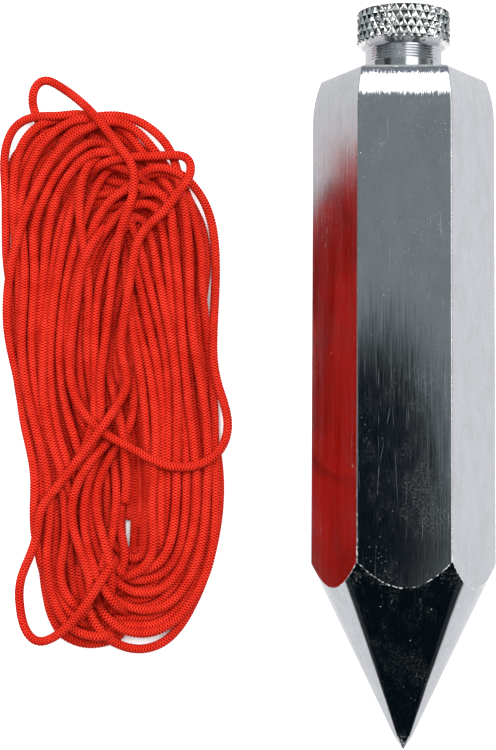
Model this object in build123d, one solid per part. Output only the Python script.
from build123d import *
import math
import os

# Plumb bob set lying on a bench: z = 0 is the bench. The bob rests on one flat
# of its hexagon with its axis along Y, cap towards +Y and point towards -Y.
# The hank of line lies beside it on the -X side. Lengths in mm, angles in degrees.
#
# Body and cap are built standing up, axis on Z and point at z = 0, then laid
# down. Names ending in _U are heights along that axis.

# ------------------------------------------------------------ hexagonal body
ACROSS_FLATS = 23.0        # bar size
HALF_FLATS = ACROSS_FLATS / 2
CORNER_R = ACROSS_FLATS / math.sqrt(3)
BODY_TOP_U = 97.0          # top face of the body
SHOULDER_LEN = 6.3         # length over which each flat curves inwards
SHOULDER_DROP = 1.08       # how far it has curved in at the top face
EDGE_BREAK = 0.16          # rounding of the long edges
TOP_BREAK = 0.22           # bevel round the rim of the top face
ORIGIN_U = 56.5            # the height that lies at Y = 0, near mid flat

# the point: a main cone ending in a blunter tip cone
CONE_HALF_ANGLE = 26.0
TIP_R = 1.28               # radius where the tip cone starts
TIP_H = 1.72
TIP_FLAT_R = 0.10          # tiny flat at the very point

# threaded socket in the body
SOCKET_R = 4.04            # plain wall near the thread's major diameter
SOCKET_DEPTH = 12.0
SOCKET_STEP_H = 0.4        # conical step down to the chamber
SOCKET_CSK = 0.45          # countersink at the mouth
CHAMBER_R = 3.40           # tapping drill, leaves room for the line's knot
CHAMBER_DEPTH = 18.0       # from the top face to the start of the drill point
DRILL_HALF_ANGLE = 59

# ----------------------------------------------------------------- cap screw
NECK_R = 5.62
NECK_LEN = 4.4
NECK_FOOT = 0.18           # bevel where the neck meets the body
GROOVES = 5                # fine turned grooves under the head
GROOVE_PITCH = 0.40
GROOVE_DEPTH = 0.09
GROOVE_GAP = 0.12          # from the last groove's pitch to the head

HEAD_R = 6.98              # over the tips of the knurl
HEAD_LEN = 5.6
HEAD_UNDER_H = 1.05        # conical underside of the head
HEAD_TOP_BEVEL = 0.28
HEAD_BASE_U = BODY_TOP_U + NECK_LEN
HEAD_TOP_U = HEAD_BASE_U + HEAD_LEN
KNURL_TEETH = 36
KNURL_ROWS = 5             # half rows over the head's length
KNURL_DEPTH = 0.40

THREAD_R = 3.98            # M8 x 1.25, major radius less clearance
THREAD_ROOT_R = 3.24
THREAD_PITCH = 1.25
THREAD_LEN = 10.0
THREAD_RELIEF = 1.5        # undercut between neck and thread
THREAD_LEAD_IN = 1.0       # taper at the free end
THREAD_RUN_OUT = 0.55      # taper at the neck end
RIDGE_ROOT_W = THREAD_PITCH * 0.86
RIDGE_CREST_W = THREAD_PITCH * 0.16
RIDGE_SINK = 0.06          # overlap of the ridge into the core
CORE_BEVEL = 0.35
SHANK_END_U = BODY_TOP_U - THREAD_LEN - THREAD_RELIEF

LINE_HOLE_R = 1.25
LINE_HOLE_BREAK = 0.35

# -------------------------------------------------------------- hank of line
HANK_Z0 = 0.05             # underside, just clear of the bench
HANK_T = 6.4               # thickness of the bundle along its middle
HANK_CROWN = 2.9           # how much thinner it is at the sides
HANK_X = -43.2             # its middle line
HANK_W = 34.6              # its width
HANK_EDGE = 1.0            # rounding underneath

# closed outline seen from above: (x, y)
HANK_OUTLINE = [
    (-60.5, 16.0), (-59.6, 31.0), (-53.4, 42.0), (-43.0, 41.0), (-32.8, 33.0),
    (-27.6, 12.0), (-26.0, -10.0), (-28.8, -29.0), (-38.8, -42.6), (-52.5, -42.6),
    (-58.2, -32.0), (-60.0, -8.0),
]

# how far cutting and trimming shapes reach past the solid
SLAB_REACH = 30            # to each side
TRIM_REACH = 3
CUT_REACH = 1


# ------------------------------------------------------------------- helpers
def lay_down(shape):
    """Standing frame to the lying frame."""
    return Pos(0, -ORIGIN_U, HALF_FLATS) * Rot(-90, 0, 0) * shape


def turned(points):
    """Solid of revolution about Z from a closed (radius, height) profile."""
    face = make_face(Polyline(*[(r, 0, z) for r, z in points], close=True))
    return revolve(face, axis=Axis.Z, revolution_arc=360)


def polygon_face(points):
    return Face(Wire.make_polygon([Vector(*p) for p in points], close=True))


def slab_from(face):
    """Face in the XZ plane, thickened to both sides along Y."""
    return extrude(face, amount=SLAB_REACH, dir=(0, 1, 0), both=True)


# ------------------------------------------------------------ hexagonal body
def flats_slab():
    """One pair of opposite flats, curving inwards near the top."""
    base_z = -2
    bend_z = BODY_TOP_U - SHOULDER_LEN
    top_x = HALF_FLATS - SHOULDER_DROP
    arc_r = (SHOULDER_LEN**2 + SHOULDER_DROP**2) / (2 * SHOULDER_DROP)
    mid_angle = math.asin(SHOULDER_LEN / arc_r) / 2
    mid_x = HALF_FLATS - arc_r * (1 - math.cos(mid_angle))
    mid_z = bend_z + arc_r * math.sin(mid_angle)

    base_left, base_right = (-HALF_FLATS, 0, base_z), (HALF_FLATS, 0, base_z)
    bend_left, bend_right = (-HALF_FLATS, 0, bend_z), (HALF_FLATS, 0, bend_z)
    top_left, top_right = (-top_x, 0, BODY_TOP_U), (top_x, 0, BODY_TOP_U)
    outline = Wire(
        [
            Edge.make_line(base_left, base_right),
            Edge.make_line(base_right, bend_right),
            Edge.make_three_point_arc(bend_right, (mid_x, 0, mid_z), top_right),
            Edge.make_line(top_right, top_left),
            Edge.make_three_point_arc(top_left, (-mid_x, 0, mid_z), bend_left),
            Edge.make_line(bend_left, base_left),
        ]
    )
    return slab_from(Face(outline))


def rim_bevel_slab():
    """Slab with 45 degree top corners that bevels one pair of rim edges."""
    side_x = HALF_FLATS + TRIM_REACH
    side_z = BODY_TOP_U - TOP_BREAK - (SHOULDER_DROP + TRIM_REACH)
    top_x = HALF_FLATS - SHOULDER_DROP - TOP_BREAK
    return slab_from(
        polygon_face(
            [
                (-side_x, 0, -TRIM_REACH),
                (side_x, 0, -TRIM_REACH),
                (side_x, 0, side_z),
                (top_x, 0, BODY_TOP_U),
                (-top_x, 0, BODY_TOP_U),
                (-side_x, 0, side_z),
            ]
        )
    )


def point_cone():
    """Everything inside the main cone and the blunter tip cone."""
    outer_r = 18.0
    slope = math.tan(math.radians(CONE_HALF_ANGLE))
    end_z = BODY_TOP_U + 5
    return turned(
        [
            (0, 0),
            (TIP_FLAT_R, 0),
            (TIP_R, TIP_H),
            (outer_r, TIP_H + (outer_r - TIP_R) / slope),
            (outer_r, end_z),
            (0, end_z),
        ]
    )


def socket_cut():
    """Plain socket for the thread, with the drilled chamber below it."""
    floor_u = BODY_TOP_U - SOCKET_DEPTH
    chamber_u = BODY_TOP_U - CHAMBER_DEPTH
    drill_h = CHAMBER_R / math.tan(math.radians(DRILL_HALF_ANGLE))
    return turned(
        [
            (0, BODY_TOP_U + CUT_REACH),
            (SOCKET_R + SOCKET_CSK + CUT_REACH, BODY_TOP_U + CUT_REACH),
            (SOCKET_R, BODY_TOP_U - SOCKET_CSK),
            (SOCKET_R, floor_u),
            (CHAMBER_R, floor_u - SOCKET_STEP_H),
            (CHAMBER_R, chamber_u),
            (0, chamber_u - drill_h),
        ]
    )


def make_body():
    slab = flats_slab()
    body = slab
    for turn in (60, 120):
        body = body & (Rot(0, 0, turn) * slab)
    body = (Rot(0, 0, 90) * body).solid()  # flats square to Y

    # the long edges lie near the corner radius and run up the body
    long_edges = [
        e
        for e in body.edges()
        if abs(math.hypot(e.center().X, e.center().Y) - CORNER_R) < 1.6
        and abs(e.bounding_box().size.Z) > 3
    ]
    body = fillet(long_edges, EDGE_BREAK).solid()

    bevel = rim_bevel_slab()
    for turn in (90, 150, 210):
        body = (body & (Rot(0, 0, turn) * bevel)).solid()
    body = (body & point_cone()).solid()
    return (body - socket_cut()).solid()


# ----------------------------------------------------------------- cap screw
def knurled_disc():
    """Closed disc whose rim is a lattice of raised four-sided points."""
    columns = 2 * KNURL_TEETH
    row_h = HEAD_LEN / KNURL_ROWS

    def is_peak(column, row):
        return (column + row) % 2 == 0

    def point(column, row):
        angle = math.pi * column / KNURL_TEETH
        r = HEAD_R if is_peak(column, row) else HEAD_R - KNURL_DEPTH
        return (r * math.cos(angle), r * math.sin(angle), HEAD_BASE_U + row * row_h)

    # up to four triangles round each peak, two above it and two below
    triangles = []
    for row in range(KNURL_ROWS + 1):
        for column in range(columns):
            if not is_peak(column, row):
                continue
            peak = point(column, row)
            before = point(column - 1, row)
            after = point(column + 1, row)
            if row < KNURL_ROWS:
                above = point(column, row + 1)
                triangles += [(peak, after, above), (peak, above, before)]
            if row > 0:
                below = point(column, row - 1)
                triangles += [(peak, before, below), (peak, below, after)]
    faces = [polygon_face(triangle) for triangle in triangles]
    for row in (0, KNURL_ROWS):
        faces.append(polygon_face([point(column, row) for column in range(columns)]))
    return Solid(Shell(faces))


def make_head():
    """Knurled disc trimmed to a conical underside and a bevelled top."""
    under_slope = (HEAD_R - NECK_R) / HEAD_UNDER_H
    under_h = HEAD_UNDER_H + 0.5  # cone carried on past the rim
    rim_reach = 0.65
    trim = turned(
        [
            (0, HEAD_BASE_U),
            (NECK_R, HEAD_BASE_U),
            (NECK_R + under_slope * under_h, HEAD_BASE_U + under_h),
            (HEAD_R + rim_reach, HEAD_TOP_U - HEAD_TOP_BEVEL - rim_reach),
            (HEAD_R - HEAD_TOP_BEVEL, HEAD_TOP_U),
            (0, HEAD_TOP_U),
        ]
    )
    return (knurled_disc() & trim).solid()


def make_neck():
    points = [
        (0, BODY_TOP_U),
        (NECK_R - NECK_FOOT, BODY_TOP_U),
        (NECK_R, BODY_TOP_U + NECK_FOOT),
    ]
    for i in range(GROOVES):
        groove_u = HEAD_BASE_U - GROOVE_GAP - GROOVE_PITCH * (GROOVES - i)
        points += [
            (NECK_R, groove_u),
            (NECK_R - GROOVE_DEPTH, groove_u + GROOVE_PITCH * 0.4),
            (NECK_R, groove_u + GROOVE_PITCH * 0.8),
        ]
    points += [(NECK_R, HEAD_BASE_U), (0, HEAD_BASE_U)]
    return turned(points)


def thread_ridge():
    """Trapezium swept round a helix, cropped to the threaded length."""
    inner_r = THREAD_ROOT_R - RIDGE_SINK
    section = polygon_face(
        [
            (inner_r, 0, -RIDGE_ROOT_W / 2),
            (THREAD_R, 0, -RIDGE_CREST_W / 2),
            (THREAD_R, 0, RIDGE_CREST_W / 2),
            (inner_r, 0, RIDGE_ROOT_W / 2),
        ]
    )
    helix = Helix(
        pitch=THREAD_PITCH, height=THREAD_LEN + THREAD_PITCH, radius=THREAD_ROOT_R
    )
    ridge = Solid.sweep(section, path=helix, is_frenet=True)
    ridge = Pos(0, 0, SHANK_END_U - THREAD_PITCH / 2) * ridge

    crop_r = THREAD_R + 0.05
    thread_top_u = SHANK_END_U + THREAD_LEN
    crop = turned(
        [
            (0, SHANK_END_U),
            (THREAD_ROOT_R - 0.2, SHANK_END_U),
            (crop_r, SHANK_END_U + THREAD_LEAD_IN),
            (crop_r, thread_top_u - THREAD_RUN_OUT),
            (THREAD_ROOT_R - 0.02, thread_top_u),
            (0, thread_top_u),
        ]
    )
    return ridge & crop


def make_shank():
    core = turned(
        [
            (0, SHANK_END_U),
            (THREAD_ROOT_R - CORE_BEVEL, SHANK_END_U),
            (THREAD_ROOT_R, SHANK_END_U + CORE_BEVEL),
            (THREAD_ROOT_R, BODY_TOP_U),
            (0, BODY_TOP_U),
        ]
    )
    return core + thread_ridge()


def line_hole_cut():
    """Hole right through the cap, countersunk at both ends."""
    mouth_r = LINE_HOLE_R + LINE_HOLE_BREAK + CUT_REACH
    return turned(
        [
            (0, SHANK_END_U - CUT_REACH),
            (mouth_r, SHANK_END_U - CUT_REACH),
            (LINE_HOLE_R, SHANK_END_U + LINE_HOLE_BREAK),
            (LINE_HOLE_R, HEAD_TOP_U - LINE_HOLE_BREAK),
            (mouth_r, HEAD_TOP_U + CUT_REACH),
            (0, HEAD_TOP_U + CUT_REACH),
        ]
    )


def make_cap():
    cap = (make_neck() + make_head()).solid()
    cap = (cap + make_shank()).solid()
    return (cap - line_hole_cut()).solid()


# -------------------------------------------------------------- hank of line
def make_hank():
    """Upright prism on the outline, its top crowned by a cylinder along Y."""
    outline = Edge.make_spline([Vector(x, y, HANK_Z0) for x, y in HANK_OUTLINE], periodic=True)
    hank = extrude(Face(Wire([outline])), amount=HANK_T + CUT_REACH, dir=(0, 0, 1))

    dome_r = ((HANK_W / 2) ** 2 + HANK_CROWN**2) / (2 * HANK_CROWN)
    dome_place = Pos(HANK_X, 0, HANK_Z0 + HANK_T - dome_r) * Rot(90, 0, 0)
    hank = (hank & (dome_place * Cylinder(radius=dome_r, height=140))).solid()

    bottom_edges = [e for e in hank.edges() if e.bounding_box().max.Z < HANK_Z0 + 1e-3]
    return fillet(bottom_edges, HANK_EDGE).solid()


# -------------------------------------------------------------------- export
os.makedirs("parts", exist_ok=True)
export_step(lay_down(make_body()), "parts/bob_body.step")
export_step(lay_down(make_cap()), "parts/cap_screw.step")
export_step(make_hank(), "parts/line_hank.step")
